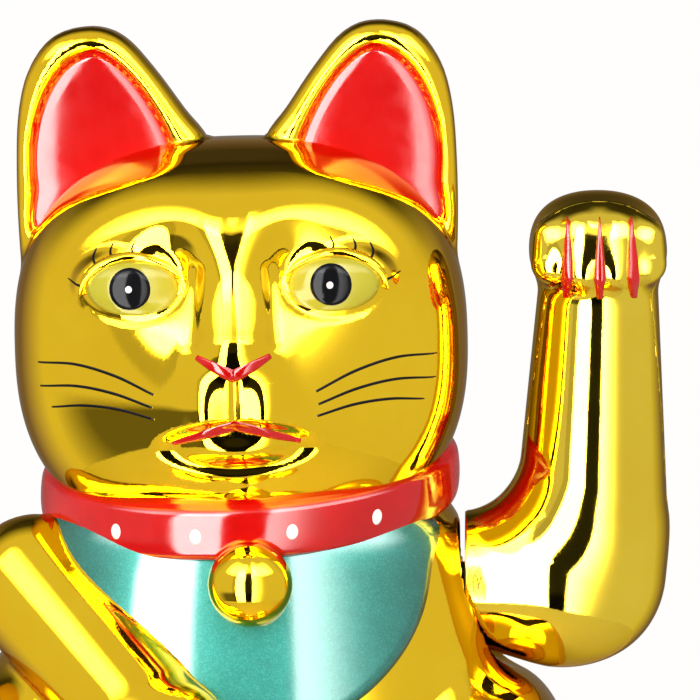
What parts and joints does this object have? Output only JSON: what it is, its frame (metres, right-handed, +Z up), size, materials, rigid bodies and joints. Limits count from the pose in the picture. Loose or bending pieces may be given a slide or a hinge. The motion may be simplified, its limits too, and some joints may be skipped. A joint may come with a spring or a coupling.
{
  "type": "beckoning cat figurine",
  "caption": "Seated gold-plated plastic beckoning cat with red collar, bell and teal bib; its raised arm swings on a battery-driven pendulum.",
  "frame": {"origin": "underside of the base plate, under the middle of the body", "axes": "+Z up, the cat looks along -Y, the waving arm is on the +X side"},
  "size_m": [0.1537, 0.1118, 0.2001],
  "materials": {
    "gold_body": "polished",
    "gold_arm": "polished",
    "red_lacquer": "gloss",
    "teal_pearl": "satin",
    "eye_cream": "gloss",
    "black_paint": "gloss",
    "white_paint": "gloss",
    "black_plastic": "satin",
    "white_plastic": "satin",
    "steel": "satin",
    "spring_steel": "gloss",
    "brass": "satin",
    "copper": "satin",
    "board_green": "satin",
    "cell_wrap": "gloss",
    "resistor_body": "matte",
    "red_insulation": "satin",
    "black_insulation": "satin"
  },
  "bodies": {
    "figurine": {"front_body_shell": "gold_body", "rear_body_shell": "gold_body", "base_plate": "black_plastic", "battery_cell": "cell_wrap", "battery_spring_contact": "spring_steel", "battery_plate_contact": "spring_steel", "drive_bracket": "white_plastic", "bearing_inner": "brass", "bearing_outer": "brass", "circuit_board": "board_green", "coil_bobbin": "white_plastic", "coil_winding": "copper", "drive_chip": "black_plastic", "capacitor": "black_plastic", "resistor": "resistor_body", "lead_positive": "red_insulation", "lead_negative": "black_insulation", "base_screw_1": "steel", "base_screw_2": "steel", "base_screw_3": "steel", "base_screw_4": "steel", "bracket_screw_1": "steel", "bracket_screw_2": "steel"},
    "waving_arm": {"arm_front_shell": "gold_arm", "arm_rear_shell": "gold_arm", "arm_hub": "black_plastic", "pivot_axle": "steel", "axle_clip": "spring_steel", "pendulum_lever": "white_plastic", "magnet_front": "steel", "magnet_rear": "steel", "counterweight": "steel"},
    "battery_door": {"battery_door": "black_plastic"}
  },
  "joints": [
    {"name": "arm_swing", "type": "hinge", "parent": "figurine", "child": "waving_arm", "pos_m": [0.03, 0, 0.084], "axis": [1, 0, 0], "range_deg": [-18, 18]},
    {"name": "battery_door_tilt", "type": "hinge", "parent": "figurine", "child": "battery_door", "pos_m": [-0.0284, 0.0185, 0.0012], "axis": [0, 1, 0], "range_deg": [0, 100]}
  ]
}
